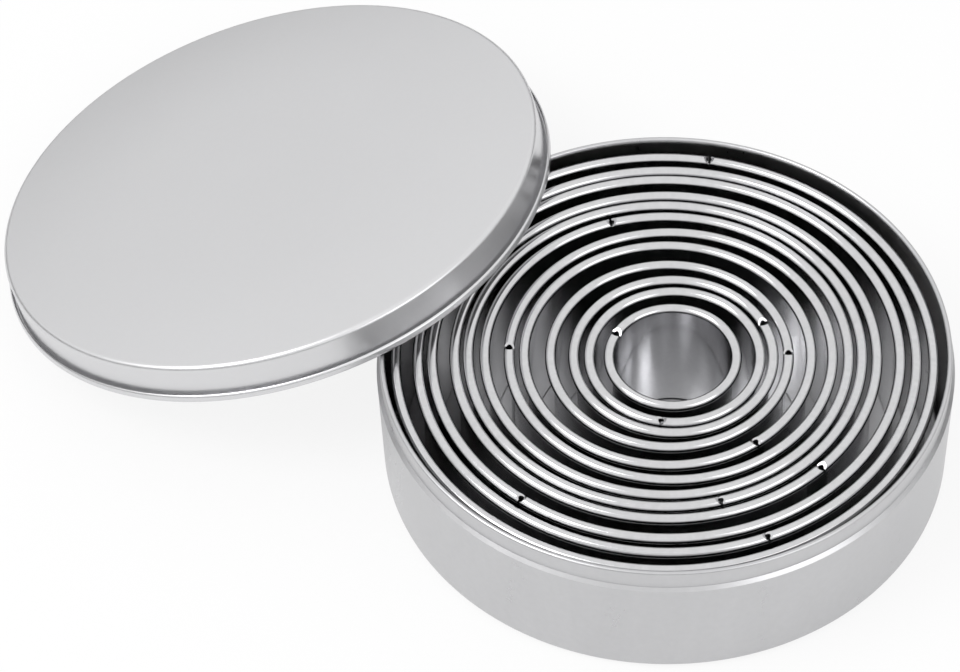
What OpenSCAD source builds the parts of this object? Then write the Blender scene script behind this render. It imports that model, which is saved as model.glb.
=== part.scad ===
// A set of twelve round biscuit cutters, nested in a round tin, with the tin's lid
// leaning on the rim.
// The origin is the centre of the tin's underside. +Z is up and +Y points to the back.
// Cutters are numbered from 1, the smallest, to 12, the largest.

/* [Cutter strip] */
// Height of a cutter, from its cutting edge to the top of its rolled edge
cutter_h = 28.2; // [22:0.1:40]
// Thickness of the steel strip
strip_t = 0.4; // [0.3:0.05:0.5]
// Diameter of the rolled edge
bead_d = 2.2; // [1.8:0.1:2.4]
// Width of the lap where the strip's ends overlap
lap_w = 5; // [3:0.5:8]
// Width of the nick across the rolled edge at the lap
nick_w = 0.6; // [0.4:0.1:1.2]

/* [Cutter sizes] */
// Bore of cutter 1
bore_01 = 23.6; // [18:0.1:40]
// Growth of the bore from cutter 1 to cutter 2
step_02 = 8.8; // [5.5:0.1:14]
// Growth of the bore from cutter 2 to cutter 3
step_03 = 5.9; // [5.5:0.1:14]
// Growth of the bore from cutter 3 to cutter 4
step_04 = 7.8; // [5.5:0.1:14]
// Growth of the bore from cutter 4 to cutter 5
step_05 = 9.9; // [5.5:0.1:14]
// Growth of the bore from cutter 5 to cutter 6
step_06 = 7.4; // [5.5:0.1:14]
// Growth of the bore from cutter 6 to cutter 7
step_07 = 8.2; // [5.5:0.1:14]
// Growth of the bore from cutter 7 to cutter 8
step_08 = 6.1; // [5.5:0.1:14]
// Growth of the bore from cutter 8 to cutter 9
step_09 = 5.8; // [5.5:0.1:14]
// Growth of the bore from cutter 9 to cutter 10
step_10 = 9.2; // [5.5:0.1:14]
// Growth of the bore from cutter 10 to cutter 11
step_11 = 6.2; // [5.5:0.1:14]
// Growth of the bore from cutter 11 to cutter 12
step_12 = 8.1; // [5.5:0.1:14]

/* [Tin] */
// Thickness of the tinplate of the tin and its lid
sheet_t = 0.3; // [0.25:0.05:0.4]
// Height of the tin's rim above the top of the cutters
rim_rise = 1.9; // [1:0.1:6]
// Room between the largest cutter's rolled edge and the tin's hem
nest_room = 1.3; // [0.6:0.1:4]
// Width of the hem that is rolled inwards at the tin's rim
hem_w = 1; // [0.9:0.1:1.4]
// Height of the recessed band that takes the lid
band_h = 5; // [3:0.5:9]
// How much narrower the tin is at its base than at its shoulder, on the radius
draft = 0.6; // [0:0.1:1.5]
// Outer radius of the tin's bottom corner
base_corner = 2; // [1:0.1:4]

/* [Lid] */
// Height of the lid, from the underside of its curl to its top
lid_h = 8.7; // [6:0.1:14]
// Outer radius of the lid's top corner
lid_corner = 1; // [0.6:0.1:2.5]
// Width of the curl that is rolled outwards at the lid's edge
curl_w = 1.45; // [1.2:0.05:2]
// Height of the lid's curl
curl_h = 2; // [2:0.1:2.6]
// Angle round the lid from its highest point to each point that rests on the rim
touch_turn = 32.5; // [20:0.5:50]
// Direction in plan in which the lid lies from the tin
lid_dir = 146; // [100:1:190]

/* [Clearances] */
// Gap under a cutter that stands on the tin's floor, and between the lid and the rim
seat_gap = 0.3; // [0.2:0.05:0.5]
// Smallest gap between a rolled edge and the next wall round it
nest_gap = 0.3; // [0.2:0.05:0.5]
// Running clearance on the radius between the lid's skirt and the recessed band
lid_clear = 0.4; // [0.2:0.05:0.6]
// Gap between a roll's free end and the wall that it curls back to
roll_gap = 0.2; // [0.1:0.05:0.25]
// Gap between the lid's low edge and the surface that the tin stands on
floor_gap = 0.1; // [0:0.05:0.3]

/* [Hidden] */
$fn = 96;
// Overlap by which a cut runs past the face that it opens
past = 1;
steps = [0, step_02, step_03, step_04, step_05, step_06, step_07, step_08, step_09, step_10,
         step_11, step_12];
count = len(steps);
// How far each loose cutter has slipped to one side of the next cutter or the tin round
// it, as a share of its room, and in which direction. The first entry is cutter 1.
slip_shares = [0.2, 0.75, 0.6, 0.2, 0.5, 0.55, 0.6, 0.45, 0.1, 0.8, 0.35, 0.3];
slip_dirs = [190, 315, 340, 315, 175, 340, 345, 140, 100, 110, 20, 220];
// Direction in which each cutter's lap points. The first entry is cutter 1.
lap_dirs = [150, 258, 22, 358, 304, 175, 105, 283, 313, 230, 290, 77];

// Inner radius of cutter n
function bore_r(n) = n <= 1 ? bore_01 / 2 : bore_r(n - 1) + steps[n - 1] / 2;
// Outer radius of cutter n, over its rolled edge
function bead_r(n) = bore_r(n) + bead_d;
// Sideways room of cutter n when it is centred in what stands round it
function room(n) = n < count ? bore_r(n + 1) - bead_r(n) : nest_room;
function slip(n) = slip_shares[n - 1] * max(0, room(n) - nest_gap);
// Place of cutter n in plan
function place(n) = slip(n) * [cos(slip_dirs[n - 1]), sin(slip_dirs[n - 1])]
                    + (n < count ? place(n + 1) : [0, 0]);

cutter_z = sheet_t + seat_gap;
tin_h = cutter_z + cutter_h + rim_rise;
tin_r = bead_r(count) + nest_room + hem_w;
hem_h = 1.4 * hem_w;
lid_in_r = tin_r + lid_clear;
lid_r = lid_in_r + sheet_t;
shoulder_r = lid_r;
shoulder_z = tin_h - band_h;
band_z = shoulder_z + shoulder_r - tin_r;
base_r = shoulder_r - draft;

// The leaning lid's curl touches the surface below at one point and the rim at two.
// In the section through the lid's axis, its curl has its lower centre on a circle of
// radius curl_ring, and its centre is lid_out from the tin's axis and lid_z above.
curl_tube = curl_w / 2;
curl_ring = lid_in_r + curl_tube;
rim_ring = tin_r - hem_w / 2;
touch_side = curl_ring * sin(touch_turn);
lid_tilt = asin((tin_h + seat_gap - floor_gap) / (curl_ring * (1 + cos(touch_turn))));
lid_z = floor_gap + curl_ring * sin(lid_tilt) + curl_tube * (1 - cos(lid_tilt));
touch_out = sqrt(rim_ring * rim_ring - touch_side * touch_side);
lid_out = touch_out + curl_ring * cos(touch_turn) * cos(lid_tilt)
          - curl_tube * sin(lid_tilt);

// Upright oval, its left side on x = 0 and its foot on y = 0
module oval(w, h) {
    translate([w / 2, w / 2]) circle(d = w);
    if (h > w) {
        translate([w / 2, h - w / 2]) circle(d = w);
        translate([0, w / 2]) square([w, h - w]);
    }
}

// Edge of a sheet of thickness t rolled over to the right. The sheet comes up along
// x = 0 to half of the roll's height, and the roll's free end stops short of it.
module roll(w, h, t) {
    difference() {
        oval(w, h);
        translate([t, t]) oval(w - 2 * t, h - 2 * t);
        translate([-past, -past]) square([t + roll_gap + past, h / 2 + past]);
    }
}

// Lower right quarter of a ring of outer radius r and thickness t
module corner(r, t) {
    intersection() {
        difference() {
            circle(r = r);
            circle(r = r - t);
        }
        translate([0, -r]) square([r, r]);
    }
}

module cutter_profile(n) {
    translate([bore_r(n), 0]) {
        square([strip_t, cutter_h - bead_d / 2]);
        translate([0, cutter_h - bead_d]) roll(bead_d, bead_d, strip_t);
    }
}

// Outer layer of the lap, as wide as lap_w at the strip's outer face
module lap(n) {
    angle = lap_w / (bore_r(n) + strip_t) * 180 / PI;
    rotate([0, 0, -angle / 2]) rotate_extrude(angle = angle)
        translate([bore_r(n) + strip_t / 2, 0])
            square([1.5 * strip_t, cutter_h - bead_d - roll_gap]);
}

module cutter(n) {
    translate([place(n).x, place(n).y, cutter_z]) rotate([0, 0, lap_dirs[n - 1]]) {
        difference() {
            rotate_extrude() cutter_profile(n);
            // The nick is where the ends of the rolled edge meet
            translate([bore_r(n) + strip_t, -nick_w / 2, cutter_h - bead_d - past])
                cube([bead_d, nick_w, bead_d + 2 * past]);
        }
        lap(n);
    }
}

module tin_body() {
    color([0.78, 0.78, 0.79]) rotate_extrude() {
        square([base_r - base_corner, sheet_t]);
        translate([base_r - base_corner, base_corner]) corner(base_corner, sheet_t);
        polygon([[base_r, base_corner], [shoulder_r, shoulder_z], [tin_r, band_z],
                 [tin_r, tin_h - hem_h / 2], [tin_r - sheet_t, tin_h - hem_h / 2],
                 [tin_r - sheet_t, band_z], [shoulder_r - sheet_t, shoulder_z],
                 [base_r - sheet_t, base_corner]]);
        translate([tin_r, tin_h - hem_h]) mirror([1, 0]) roll(hem_w, hem_h, sheet_t);
    }
}

module lid_profile() {
    square_z = lid_h - lid_corner;
    translate([0, lid_h - sheet_t]) square([lid_r - lid_corner, sheet_t]);
    translate([lid_r - lid_corner, square_z]) mirror([0, 1]) corner(lid_corner, sheet_t);
    translate([lid_in_r, curl_h / 2]) square([sheet_t, square_z - curl_h / 2]);
    translate([lid_in_r, curl_h]) mirror([0, 1]) roll(curl_w, curl_h, sheet_t);
}

module tin_lid() {
    color([0.86, 0.86, 0.87])
        rotate([0, 0, lid_dir]) translate([lid_out, 0, lid_z]) rotate([0, lid_tilt, 0])
            rotate_extrude() lid_profile();
}

module steel() {
    color([0.66, 0.66, 0.67]) children();
}

tin_body();
tin_lid();
steel() cutter(1);  // cutter_01
steel() cutter(2);  // cutter_02
steel() cutter(3);  // cutter_03
steel() cutter(4);  // cutter_04
steel() cutter(5);  // cutter_05
steel() cutter(6);  // cutter_06
steel() cutter(7);  // cutter_07
steel() cutter(8);  // cutter_08
steel() cutter(9);  // cutter_09
steel() cutter(10);  // cutter_10
steel() cutter(11);  // cutter_11
steel() cutter(12);  // cutter_12
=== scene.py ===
import math

import bmesh
import bpy
from mathutils import Matrix, Vector


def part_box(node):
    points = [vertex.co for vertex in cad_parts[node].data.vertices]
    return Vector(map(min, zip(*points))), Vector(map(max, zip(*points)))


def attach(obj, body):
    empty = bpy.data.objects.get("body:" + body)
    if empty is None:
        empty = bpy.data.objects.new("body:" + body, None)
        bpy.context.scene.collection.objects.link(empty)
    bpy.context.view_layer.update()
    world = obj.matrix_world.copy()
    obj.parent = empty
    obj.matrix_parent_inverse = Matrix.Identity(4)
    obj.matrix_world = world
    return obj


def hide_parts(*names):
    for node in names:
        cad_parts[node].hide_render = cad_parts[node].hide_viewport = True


bl_info = {
    "name": "Nested Biscuit Cutters",
    "version": (1, 0, 0),
    "blender": (4, 5, 0),
    "location": "View3D > Sidebar > Cutters",
    "description": "Builds a nested set of round biscuit cutters in a tin with a lid",
    "category": "Add Mesh",
}

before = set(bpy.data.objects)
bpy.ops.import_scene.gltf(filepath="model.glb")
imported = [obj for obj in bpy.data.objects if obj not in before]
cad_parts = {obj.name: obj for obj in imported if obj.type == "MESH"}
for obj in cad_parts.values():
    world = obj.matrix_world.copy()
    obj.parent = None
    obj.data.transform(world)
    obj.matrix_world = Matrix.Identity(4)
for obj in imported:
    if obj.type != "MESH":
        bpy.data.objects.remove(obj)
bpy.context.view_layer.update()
MM = 0.001
CUTTERS = sorted(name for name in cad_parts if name.startswith("cutter_"))
TIN_LOW, TIN_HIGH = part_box("tin_body")
# Direction in which each cutter's lap points, in degrees, cutter 1 first
LAP_DIRECTIONS = (150, 258, 22, 358, 304, 175, 105, 283, 313, 230, 290, 77)

# Steps of a section that is turned round its axis
RING_STEPS = 144
SHELL_STEPS = 180
LAP_STEPS = 8
CARD_STEPS = 48
# Steps of the arcs in a section, on the outer and on the inner face of the sheet
BEAD_STEPS_OUT = 26
BEAD_STEPS_IN = 20
HEM_STEPS_OUT = 14
HEM_STEPS_IN = 10
CURL_STEPS_OUT = 16
CURL_STEPS_IN = 14
CORNER_STEPS_OUT = 10
CORNER_STEPS_IN = 8
# How far, in degrees, the free end of the hem and of the curl turns back, and its steps
END_TURN = 60
END_STEPS = 5
# Share of its radius at which a flat floor or top is split into two rings of faces
FLAT_SPLIT = 0.5
# Points of a mesh that are nearer than this become one
WELD = 0.002 * MM
# An edge that bends more than this is drawn sharp
SHARP_BEND = math.radians(38.0)

# The wedge that opens the nick: its length over its side, its depth over its width, and
# its middle as a share of the rolled edge's diameter
WEDGE_LENGTH = 3
WEDGE_DEPTH = 0.8
WEDGE_MIDDLE = 0.62

# Shares of the fine grain, the long streaks and the clouds in a metal's tone
GRAIN_SHARE = 0.35
STREAK_SHARE = 0.4
CLOUD_SHARE = 0.25
CLOUD_SCALE = 28.0
# How much the streaks and the grain change a metal's roughness
STREAK_ROUGHNESS = 0.12
GRAIN_ROUGHNESS = 0.06
RELIEF_DEPTH = 0.02 * MM

SENSOR_WIDTH = 36.0
CLIP_START = 0.01
WHITE = (1, 1, 1, 1)
# The floor reaches this far from the middle, just under the tin
FLOOR_REACH = 3.0
FLOOR_DROP = 0.02 * MM
FLOOR_COLOR = (0.9, 0.9, 0.9, 1)
# Share of the glow in what the camera sees of the floor, and how much of that mirrors see
FLOOR_GLOW = 0.85
FLOOR_MIRRORED = 0.6
CARD_RADIUS = 1.1
CARD_HEIGHT = 0.24
CARD_COLOR = (0.07, 0.07, 0.07, 1)
# Light of the world, and what is added where the camera or a mirror sees it
SKY_LIGHT = 0.8
SKY_ADDED = 0.2
# Name, place, power in watts and width of each lamp
LAMPS = (("key_lamp", (-0.9, -0.3, 1.3), 9.0, 0.8),
         ("fill_lamp", (0.9, -0.9, 0.9), 3.0, 0.9))


class CutterSizes(bpy.types.PropertyGroup):
    """Sizes and colour of the cutters"""
    strip: bpy.props.FloatProperty(
        name="Strip", description="Thickness of the steel strip", default=0.4 * MM,
        unit="LENGTH", precision=5)
    bead: bpy.props.FloatProperty(
        name="Rolled edge", description="Diameter of the rolled edge", default=2.2 * MM,
        unit="LENGTH", precision=5)
    roll_gap: bpy.props.FloatProperty(
        name="Roll gap", description="Gap between the roll's free end and the wall",
        default=0.2 * MM, unit="LENGTH", precision=5)
    lap: bpy.props.FloatProperty(
        name="Lap", description="Width of the lap where the strip's ends overlap",
        default=5.0 * MM, unit="LENGTH", precision=5)
    nick: bpy.props.FloatProperty(
        name="Nick", description="Width of the nick across the rolled edge",
        default=0.5 * MM, unit="LENGTH", precision=5)
    nick_mouth: bpy.props.FloatProperty(
        name="Nick mouth", description="Width to which the nick opens at the crown",
        default=2.2 * MM, unit="LENGTH", precision=5)
    color: bpy.props.FloatVectorProperty(
        name="Steel", description="Colour of the strip", default=(0.64, 0.64, 0.65),
        subtype="COLOR", size=3, min=0, max=1)


class TinSizes(bpy.types.PropertyGroup):
    """Sizes and colour of the tin"""
    sheet: bpy.props.FloatProperty(
        name="Tinplate", description="Thickness of the tinplate", default=0.3 * MM,
        unit="LENGTH", precision=5)
    hem_width: bpy.props.FloatProperty(
        name="Hem width", description="Width of the hem rolled inwards at the rim",
        default=1.0 * MM, unit="LENGTH", precision=5)
    hem_height: bpy.props.FloatProperty(
        name="Hem height", description="Height of the hem", default=1.4 * MM,
        unit="LENGTH", precision=5)
    band: bpy.props.FloatProperty(
        name="Band", description="Height of the recessed band", default=5.0 * MM,
        unit="LENGTH", precision=5)
    step: bpy.props.FloatProperty(
        name="Step", description="How far the shoulder stands out from the band",
        default=0.7 * MM, unit="LENGTH", precision=5)
    draft: bpy.props.FloatProperty(
        name="Draft", description="How much narrower the base is than the shoulder",
        default=0.6 * MM, unit="LENGTH", precision=5)
    corner: bpy.props.FloatProperty(
        name="Corner", description="Outer radius of the bottom corner", default=2.0 * MM,
        unit="LENGTH", precision=5)
    color: bpy.props.FloatVectorProperty(
        name="Tinplate", description="Colour of the tin", default=(0.57, 0.57, 0.58),
        subtype="COLOR", size=3, min=0, max=1)


class LidSizes(bpy.types.PropertyGroup):
    """Sizes, place and colour of the lid"""
    height: bpy.props.FloatProperty(
        name="Height", description="Height of the lid", default=8.7 * MM,
        unit="LENGTH", precision=5)
    corner: bpy.props.FloatProperty(
        name="Corner", description="Outer radius of the top corner", default=1.0 * MM,
        unit="LENGTH", precision=5)
    curl_width: bpy.props.FloatProperty(
        name="Curl width", description="Width of the curl", default=1.45 * MM,
        unit="LENGTH", precision=5)
    curl_height: bpy.props.FloatProperty(
        name="Curl height", description="Height of the curl", default=2.0 * MM,
        unit="LENGTH", precision=5)
    clearance: bpy.props.FloatProperty(
        name="Clearance", description="Clearance on the radius to the tin's band",
        default=0.4 * MM, unit="LENGTH", precision=5)
    seat_gap: bpy.props.FloatProperty(
        name="Seat gap", description="Gap between the curl and the rim",
        default=0.3 * MM, unit="LENGTH", precision=5)
    floor_gap: bpy.props.FloatProperty(
        name="Floor gap", description="Gap under the lid's low edge", default=0.1 * MM,
        unit="LENGTH", precision=5)
    touch_turn: bpy.props.FloatProperty(
        name="Touch", description="Angle from the highest point to a touching point",
        default=math.radians(32.5), subtype="ANGLE", unit="ROTATION")
    direction: bpy.props.FloatProperty(
        name="Direction", description="Direction in which the lid lies from the tin",
        default=math.radians(146), subtype="ANGLE", unit="ROTATION")
    color: bpy.props.FloatVectorProperty(
        name="Lid plate", description="Colour of the lid", default=(0.70, 0.70, 0.71),
        subtype="COLOR", size=3, min=0, max=1)


class StageSizes(bpy.types.PropertyGroup):
    """Place and lens of the camera"""
    distance: bpy.props.FloatProperty(
        name="Distance", description="Distance of the camera from its target",
        default=907.1 * MM, unit="LENGTH")
    height_angle: bpy.props.FloatProperty(
        name="Elevation", description="Elevation of the camera",
        default=math.radians(49.63), subtype="ANGLE", unit="ROTATION")
    roll: bpy.props.FloatProperty(
        name="Roll", description="Roll of the camera", default=math.radians(-1.9755),
        subtype="ANGLE", unit="ROTATION")
    target: bpy.props.FloatVectorProperty(
        name="Target", description="Point that the camera looks at",
        default=(-37.44 * MM, 0.0, 35.88 * MM), subtype="TRANSLATION", size=3)
    lens: bpy.props.FloatProperty(
        name="Lens", description="Focal length on a 36 mm sensor, in millimetres",
        default=168.75)


class Wire:
    """A shader socket that adds Math nodes when it is used in an expression."""

    def __init__(self, paint, socket):
        self.paint = paint
        self.socket = socket

    def math(self, operation, first, second):
        made = self.paint.add("ShaderNodeMath", {"operation": operation},
                              {0: first, 1: second})
        return Wire(self.paint, made.outputs[0])

    def __add__(self, other):
        return self.math("ADD", self, other)

    def __radd__(self, other):
        return self.math("ADD", other, self)

    def __sub__(self, other):
        return self.math("SUBTRACT", self, other)

    def __rmul__(self, other):
        return self.math("MULTIPLY", other, self)


class Paint:
    """The nodes of one material or of the world."""

    def __init__(self, owner):
        owner.use_nodes = True
        self.tree = owner.node_tree
        self.tree.nodes.clear()

    def add(self, kind, settings=None, inputs=None):
        made = self.tree.nodes.new(kind)
        for name, value in (settings or {}).items():
            setattr(made, name, value)
        for name, value in (inputs or {}).items():
            if isinstance(value, Wire):
                self.tree.links.new(value.socket, made.inputs[name])
            else:
                made.inputs[name].default_value = value
        return made

    def out(self, made, name=0):
        return Wire(self, made.outputs[name])

    def noise(self, scale, stretch=(1, 1, 1), detail=3.0):
        place = self.add("ShaderNodeTexCoord")
        mapping = self.add("ShaderNodeMapping", None,
                           {"Vector": self.out(place, "Object"), "Scale": stretch})
        made = self.add("ShaderNodeTexNoise", None,
                        {"Vector": self.out(mapping), "Scale": scale, "Detail": detail})
        return self.out(made, "Fac")


def sheet_metal(name, color, roughness, grain, streak, tone, bump):
    """Metal whose tone, roughness and relief vary with a fine grain and long streaks."""
    material = bpy.data.materials.new(name)
    paint = Paint(material)
    fine = paint.noise(grain)
    long = paint.noise(1.0, streak, detail=4.0)
    cloud = paint.noise(CLOUD_SCALE, detail=2.0)
    blend = GRAIN_SHARE * fine + STREAK_SHARE * long + CLOUD_SHARE * cloud
    dark = [c * (1 - tone) for c in color] + [1.0]
    light = [min(1.0, c * (1 + tone)) for c in color] + [1.0]
    mixed = paint.add("ShaderNodeMix", {"data_type": "RGBA"},
                      {0: blend, 6: dark, 7: light})
    relief = paint.add("ShaderNodeBump", None,
                       {"Strength": bump, "Distance": RELIEF_DEPTH,
                        "Height": 0.5 * fine + 0.5 * long})
    shader = paint.add("ShaderNodeBsdfPrincipled", None, {
        "Base Color": paint.out(mixed, 2),
        "Metallic": 1.0,
        "Roughness": (roughness + STREAK_ROUGHNESS * (long - 0.5)
                      + GRAIN_ROUGHNESS * (fine - 0.5)),
        "Normal": paint.out(relief),
    })
    paint.add("ShaderNodeOutputMaterial", None, {"Surface": paint.out(shader)})
    return material


class Section:
    """The outline of a sheet's section in the XZ plane, drawn with one moving point."""

    def __init__(self, x, z):
        self.bm = bmesh.new()
        self.tip = bmesh.ops.create_vert(self.bm, co=(x, 0, z))["vert"][0]
        self.first = self.tip

    def line(self, x, z):
        """Draws a straight edge to (x, z)."""
        made = bmesh.ops.extrude_vert_indiv(self.bm, verts=[self.tip])
        self.tip = made["verts"][0]
        self.tip.co = (x, 0, z)
        return self

    def arc(self, x, z, turn, steps):
        """Turns the point about (x, z); a positive turn goes from +Z towards +X."""
        made = bmesh.ops.spin(self.bm, geom=[self.tip], cent=(x, 0, z), axis=(0, 1, 0),
                              dvec=(0, 0, 0), angle=math.radians(turn), steps=steps,
                              use_merge=False, use_duplicate=False)
        self.tip = [item for item in made["geom_last"]
                    if isinstance(item, bmesh.types.BMVert)][0]
        return self

    def close(self):
        """Joins the last point to the first."""
        self.bm.edges.new((self.tip, self.first))
        return self

    def revolve(self, steps):
        """Turns the section once round the Z axis, and gives the mesh."""
        geometry = list(self.bm.verts) + list(self.bm.edges)
        bmesh.ops.spin(self.bm, geom=geometry, cent=(0, 0, 0), axis=(0, 0, 1),
                       dvec=(0, 0, 0), angle=math.tau, steps=steps,
                       use_merge=True, use_duplicate=False)
        bmesh.ops.remove_doubles(self.bm, verts=self.bm.verts, dist=WELD)
        return self.bm


def make_object(bm, name, material=None):
    """Makes the mesh an object of the scene."""
    mesh = bpy.data.meshes.new(name)
    bm.to_mesh(mesh)
    bm.free()
    if material:
        mesh.materials.append(material)
    made = bpy.data.objects.new(name, mesh)
    bpy.context.scene.collection.objects.link(made)
    return made


def finish_piece(bm, name, material, body):
    """Makes the mesh a smooth piece of the set that rides on its body."""
    bmesh.ops.recalc_face_normals(bm, faces=bm.faces)
    piece = make_object(bm, name, material)
    piece.data.shade_smooth()
    piece.data.set_sharp_from_angle(angle=SHARP_BEND)
    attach(piece, body)
    return piece


def cut_away(piece, tool_bm):
    """Cuts a closed tool mesh out of the piece."""
    tool = make_object(tool_bm, "cut")
    modifier = piece.modifiers.new("cut", "BOOLEAN")
    modifier.operation = "DIFFERENCE"
    modifier.solver = "EXACT"
    modifier.object = tool
    with bpy.context.temp_override(object=piece, active_object=piece):
        bpy.ops.object.modifier_apply(modifier=modifier.name)
    bpy.data.objects.remove(tool)


def roll_section(radius, foot, top, sheet, bead, gap):
    """Section of a strip from its foot up, its upper edge rolled outwards."""
    tube = bead / 2
    middle = top - tube
    # The free end passes the far side of the roll and stops short of the wall by the gap
    end = math.acos((sheet + gap - tube) / tube)
    turn = 180 + math.degrees(end)
    inner = tube - sheet
    section = Section(radius, foot).line(radius, middle)
    section.arc(radius + tube, middle, turn, BEAD_STEPS_OUT)
    section.line(radius + tube + inner * math.cos(end), middle - inner * math.sin(end))
    section.arc(radius + tube, middle, -turn, BEAD_STEPS_IN)
    return section.line(radius + sheet, foot).close()


def nick_tools(radius, top, sizes):
    """A slot across the rolled edge, and a wedge that opens it at the crown."""
    slot = bmesh.new()
    bmesh.ops.create_cube(slot, size=1.0)
    bmesh.ops.scale(slot, verts=slot.verts,
                    vec=(sizes.bead, sizes.nick, 2 * sizes.bead))
    middle = sizes.bead / 2
    bmesh.ops.translate(slot, verts=slot.verts,
                        vec=(radius + sizes.strip + middle, 0, top - middle))
    wedge = bmesh.new()
    bmesh.ops.create_cube(wedge, size=sizes.nick_mouth / math.sqrt(2))
    bmesh.ops.rotate(wedge, verts=wedge.verts, cent=(0, 0, 0),
                     matrix=Matrix.Rotation(math.radians(45), 3, "X"))
    bmesh.ops.scale(wedge, verts=wedge.verts, vec=(WEDGE_LENGTH, 1, WEDGE_DEPTH))
    bmesh.ops.translate(wedge, verts=wedge.verts,
                        vec=(radius + sizes.bead * WEDGE_MIDDLE, 0, top))
    return slot, wedge


class CUTTERS_OT_cutters(bpy.types.Operator):
    """Build every cutter of the nest"""
    bl_idname = "cutters.cutters"
    bl_label = "Cutters"

    def execute(self, context):
        sizes = context.scene.cutter_sizes
        steel = sheet_metal("cutter_steel", sizes.color, roughness=0.15, grain=900.0,
                            streak=(420, 420, 14), tone=0.16, bump=0.12)
        for name, direction in zip(CUTTERS, LAP_DIRECTIONS):
            low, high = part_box(name)
            middle = (low + high) / 2
            radius = (high.x - low.x) / 2 - sizes.bead
            turn = Matrix.Rotation(math.radians(direction), 4, "Z")
            place = Matrix.Translation((middle.x, middle.y, 0)) @ turn
            bm = roll_section(radius, low.z, high.z, sizes.strip, sizes.bead,
                              sizes.roll_gap).revolve(RING_STEPS)
            piece = finish_piece(bm, name + "_ring", steel, name)
            for tool in nick_tools(radius, high.z, sizes):
                cut_away(piece, tool)
            piece.data.transform(place)
            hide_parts(name)
            self.lap(name, radius, low.z, high.z, sizes, steel, place)
        return {"FINISHED"}

    def lap(self, name, radius, foot, top, sizes, steel, place):
        """The outer layer of the lap, where the strip's ends overlap."""
        inner = radius + sizes.strip / 2
        outer = radius + 2 * sizes.strip
        height = top - sizes.bead - sizes.roll_gap
        angle = sizes.lap / (radius + sizes.strip)
        section = Section(inner, foot).line(outer, foot)
        section.line(outer, height).line(inner, height).close()
        section.bm.faces.new(list(section.bm.verts))
        bm = section.bm
        bmesh.ops.spin(bm, geom=list(bm.faces), cent=(0, 0, 0), axis=(0, 0, 1),
                       dvec=(0, 0, 0), angle=angle, steps=LAP_STEPS, use_merge=False,
                       use_duplicate=False)
        bmesh.ops.rotate(bm, verts=bm.verts, cent=(0, 0, 0),
                         matrix=Matrix.Rotation(-angle / 2, 3, "Z"))
        bmesh.ops.transform(bm, matrix=place, verts=bm.verts)
        finish_piece(bm, name + "_lap", steel, name)


class CUTTERS_OT_tin(bpy.types.Operator):
    """Build the tin"""
    bl_idname = "cutters.tin"
    bl_label = "Tin"

    def execute(self, context):
        sizes = context.scene.tin_sizes
        plate = sheet_metal("tin_plate", sizes.color, roughness=0.3, grain=700.0,
                            streak=(160, 160, 30), tone=0.12, bump=0.12)
        shoulder = (TIN_HIGH.x - TIN_LOW.x) / 2
        rim = shoulder - sizes.step
        base = shoulder - sizes.draft
        top = TIN_HIGH.z
        sheet = sizes.sheet
        shoulder_z = top - sizes.band
        band_z = shoulder_z + sizes.step
        tube = sizes.hem_width / 2
        hem_z = top - tube
        low_z = top - sizes.hem_height + tube
        inner = tube - sheet
        end = math.radians(END_TURN)
        section = Section(0, 0).line(base * FLAT_SPLIT, 0).line(base - sizes.corner, 0)
        section.arc(base - sizes.corner, sizes.corner, -90, CORNER_STEPS_OUT)
        section.line(shoulder, shoulder_z).line(rim, band_z).line(rim, hem_z)
        section.arc(rim - tube, hem_z, -180, HEM_STEPS_OUT).line(rim - 2 * tube, low_z)
        section.arc(rim - tube, low_z, -END_TURN, END_STEPS)
        section.line(rim - tube - inner * math.cos(end), low_z - inner * math.sin(end))
        section.arc(rim - tube, low_z, END_TURN, END_STEPS)
        section.line(rim - 2 * tube + sheet, hem_z)
        section.arc(rim - tube, hem_z, 180, HEM_STEPS_IN)
        section.line(rim - sheet, band_z).line(shoulder - sheet, shoulder_z)
        section.line(base - sheet, sizes.corner)
        section.arc(base - sizes.corner, sizes.corner, 90, CORNER_STEPS_IN)
        section.line(base * FLAT_SPLIT, sheet).line(0, sheet)
        bm = section.revolve(SHELL_STEPS)
        piece = finish_piece(bm, "tin_shell", plate, "tin")
        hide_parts("tin_body")
        return {"FINISHED"}


def lid_place(sizes, tin, rim, ring):
    """Leans the lid, with two points of its curl on the tin's rim and one on the floor.

    The curl's lower centre runs round the lid on a circle of radius ring.
    """
    tube = sizes.curl_width / 2
    turn = sizes.touch_turn
    rise = TIN_HIGH.z + sizes.seat_gap - sizes.floor_gap
    tilt = math.asin(rise / (ring * (1 + math.cos(turn))))
    height = sizes.floor_gap + ring * math.sin(tilt) + tube * (1 - math.cos(tilt))
    rim_ring = rim - tin.hem_width / 2
    out = math.sqrt(rim_ring ** 2 - (ring * math.sin(turn)) ** 2)
    out += ring * math.cos(turn) * math.cos(tilt) - tube * math.sin(tilt)
    return (Matrix.Rotation(sizes.direction, 4, "Z")
            @ Matrix.Translation((out, 0, height))
            @ Matrix.Rotation(tilt, 4, "Y"))


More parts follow.
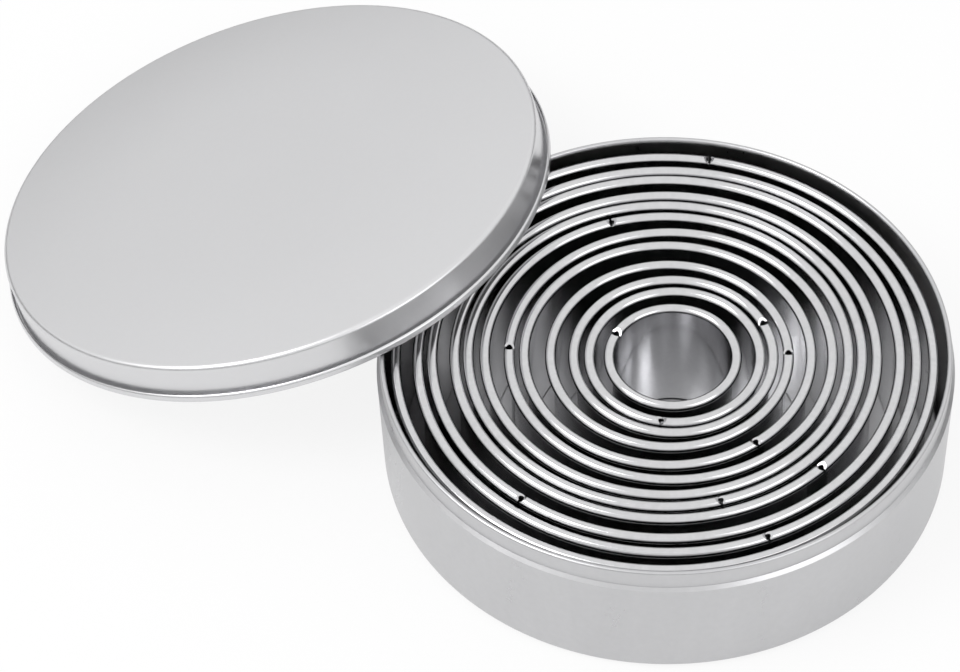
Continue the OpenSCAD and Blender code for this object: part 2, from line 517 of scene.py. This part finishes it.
class CUTTERS_OT_lid(bpy.types.Operator):
    """Build the leaning lid"""
    bl_idname = "cutters.lid"
    bl_label = "Lid"

    def execute(self, context):
        sizes = context.scene.lid_sizes
        tin = context.scene.tin_sizes
        plate = sheet_metal("lid_plate", sizes.color, roughness=0.34, grain=800.0,
                            streak=(90, 90, 90), tone=0.04, bump=0.06)
        sheet = tin.sheet
        rim = (TIN_HIGH.x - TIN_LOW.x) / 2 - tin.step
        inner = rim + sizes.clearance
        outer = inner + sheet
        tube = sizes.curl_width / 2
        high_z = sizes.curl_height - tube
        corner_z = sizes.height - sizes.corner
        ring = inner + tube
        end = math.radians(END_TURN)
        section = Section(0, sizes.height).line(outer * FLAT_SPLIT, sizes.height)
        section.line(outer - sizes.corner, sizes.height)
        section.arc(outer - sizes.corner, corner_z, 90, CORNER_STEPS_OUT)
        section.line(outer, high_z).line(outer, tube)
        section.arc(ring, tube, -180, CURL_STEPS_IN).line(ring + tube - sheet, high_z)
        section.arc(ring, high_z, -END_TURN, END_STEPS)
        section.line(ring + tube * math.cos(end), high_z + tube * math.sin(end))
        section.arc(ring, high_z, END_TURN, END_STEPS).line(ring + tube, tube)
        section.arc(ring, tube, 180, CURL_STEPS_OUT).line(inner, corner_z)
        section.arc(outer - sizes.corner, corner_z, -90, CORNER_STEPS_IN)
        section.line(outer * FLAT_SPLIT, sizes.height - sheet)
        section.line(0, sizes.height - sheet)
        bm = section.revolve(SHELL_STEPS)
        place = lid_place(sizes, tin, rim, ring)
        bmesh.ops.transform(bm, matrix=place, verts=bm.verts)
        piece = finish_piece(bm, "lid_shell", plate, "lid")
        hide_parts("tin_lid")
        return {"FINISHED"}


class CUTTERS_OT_stage(bpy.types.Operator):
    """Set up the camera, the floor, the lamps and the world"""
    bl_idname = "cutters.stage"
    bl_label = "Stage"

    def execute(self, context):
        self.camera(context)
        self.floor()
        self.cards()
        self.lamps(context)
        self.world(context)
        context.scene.view_settings.view_transform = "Standard"
        return {"FINISHED"}

    def camera(self, context):
        sizes = context.scene.stage_sizes
        angle = sizes.height_angle
        back = Vector((0, -math.cos(angle), math.sin(angle)))
        right = Vector((1, 0, 0))
        up = back.cross(right)
        across = right * math.cos(sizes.roll) + up * math.sin(sizes.roll)
        upward = -right * math.sin(sizes.roll) + up * math.cos(sizes.roll)
        data = bpy.data.cameras.new("camera")
        data.lens = sizes.lens
        data.sensor_width = SENSOR_WIDTH
        data.sensor_fit = "HORIZONTAL"
        data.clip_start = CLIP_START
        camera = bpy.data.objects.new("camera", data)
        context.scene.collection.objects.link(camera)
        turned = Matrix((across, upward, back)).transposed().to_4x4()
        place = Vector(sizes.target) + back * sizes.distance
        camera.matrix_world = Matrix.Translation(place) @ turned
        context.scene.camera = camera

    def floor(self):
        """The white floor, which shows its glow to the camera and to mirrors"""
        bm = bmesh.new()
        bmesh.ops.create_grid(bm, x_segments=4, y_segments=4, size=FLOOR_REACH)
        bmesh.ops.translate(bm, verts=bm.verts, vec=(0, 0, -FLOOR_DROP))
        material = bpy.data.materials.new("floor_white")
        paint = Paint(material)
        path = paint.add("ShaderNodeLightPath")
        mirrored = FLOOR_MIRRORED * paint.out(path, "Is Glossy Ray")
        shown = paint.out(path, "Is Camera Ray") + mirrored
        diffuse = paint.add("ShaderNodeBsdfDiffuse", None, {"Color": FLOOR_COLOR})
        glow = paint.add("ShaderNodeEmission", None, {"Color": WHITE, "Strength": 1.0})
        mixed = paint.add("ShaderNodeMixShader", None, {
            0: FLOOR_GLOW * shown,
            1: paint.out(diffuse),
            2: paint.out(glow),
        })
        paint.add("ShaderNodeOutputMaterial", None, {"Surface": paint.out(mixed)})
        floor = make_object(bm, "floor", material)

    def cards(self):
        """Dark cards that stand round the set, out of the camera's view, as in a studio"""
        section = Section(CARD_RADIUS, 0.0).line(CARD_RADIUS, CARD_HEIGHT)
        material = bpy.data.materials.new("card_grey")
        paint = Paint(material)
        card = paint.add("ShaderNodeBsdfDiffuse", None, {"Color": CARD_COLOR})
        paint.add("ShaderNodeOutputMaterial", None, {"Surface": paint.out(card)})
        cards = make_object(section.revolve(CARD_STEPS), "dark_cards", material)

    def lamps(self, context):
        for name, place, power, size in LAMPS:
            data = bpy.data.lights.new(name, "AREA")
            data.energy = power
            data.size = size
            lamp = bpy.data.objects.new(name, data)
            lamp.location = place
            aim = -Vector(place)
            lamp.rotation_euler = aim.to_track_quat("-Z", "Y").to_euler()
            context.scene.collection.objects.link(lamp)

    def world(self, context):
        world = bpy.data.worlds.new("studio")
        context.scene.world = world
        paint = Paint(world)
        path = paint.add("ShaderNodeLightPath")
        shown = paint.out(path, "Is Camera Ray") + paint.out(path, "Is Glossy Ray")
        strength = SKY_LIGHT + SKY_ADDED * shown
        sky = paint.add("ShaderNodeBackground", None,
                        {"Color": WHITE, "Strength": strength})
        paint.add("ShaderNodeOutputWorld", None, {"Surface": paint.out(sky)})


class CUTTERS_PT_panel(bpy.types.Panel):
    """Buttons that build the set"""
    bl_idname = "CUTTERS_PT_panel"
    bl_label = "Cutters"
    bl_space_type = "VIEW_3D"
    bl_region_type = "UI"
    bl_category = "Cutters"

    def draw(self, context):
        for operator in OPERATORS:
            self.layout.operator(operator.bl_idname)


GROUPS = (("cutter_sizes", CutterSizes), ("tin_sizes", TinSizes), ("lid_sizes", LidSizes),
          ("stage_sizes", StageSizes))
OPERATORS = (CUTTERS_OT_stage, CUTTERS_OT_tin, CUTTERS_OT_lid, CUTTERS_OT_cutters)


def register():
    for name, group in GROUPS:
        bpy.utils.register_class(group)
        setattr(bpy.types.Scene, name, bpy.props.PointerProperty(type=group))
    for operator in OPERATORS:
        bpy.utils.register_class(operator)
    bpy.utils.register_class(CUTTERS_PT_panel)


def unregister():
    bpy.utils.unregister_class(CUTTERS_PT_panel)
    for operator in reversed(OPERATORS):
        bpy.utils.unregister_class(operator)
    for name, group in reversed(GROUPS):
        delattr(bpy.types.Scene, name)
        bpy.utils.unregister_class(group)


def main():
    register()
    bpy.ops.cutters.stage()
    bpy.ops.cutters.tin()
    bpy.ops.cutters.lid()
    bpy.ops.cutters.cutters()


if __name__ == "__main__":
    main()
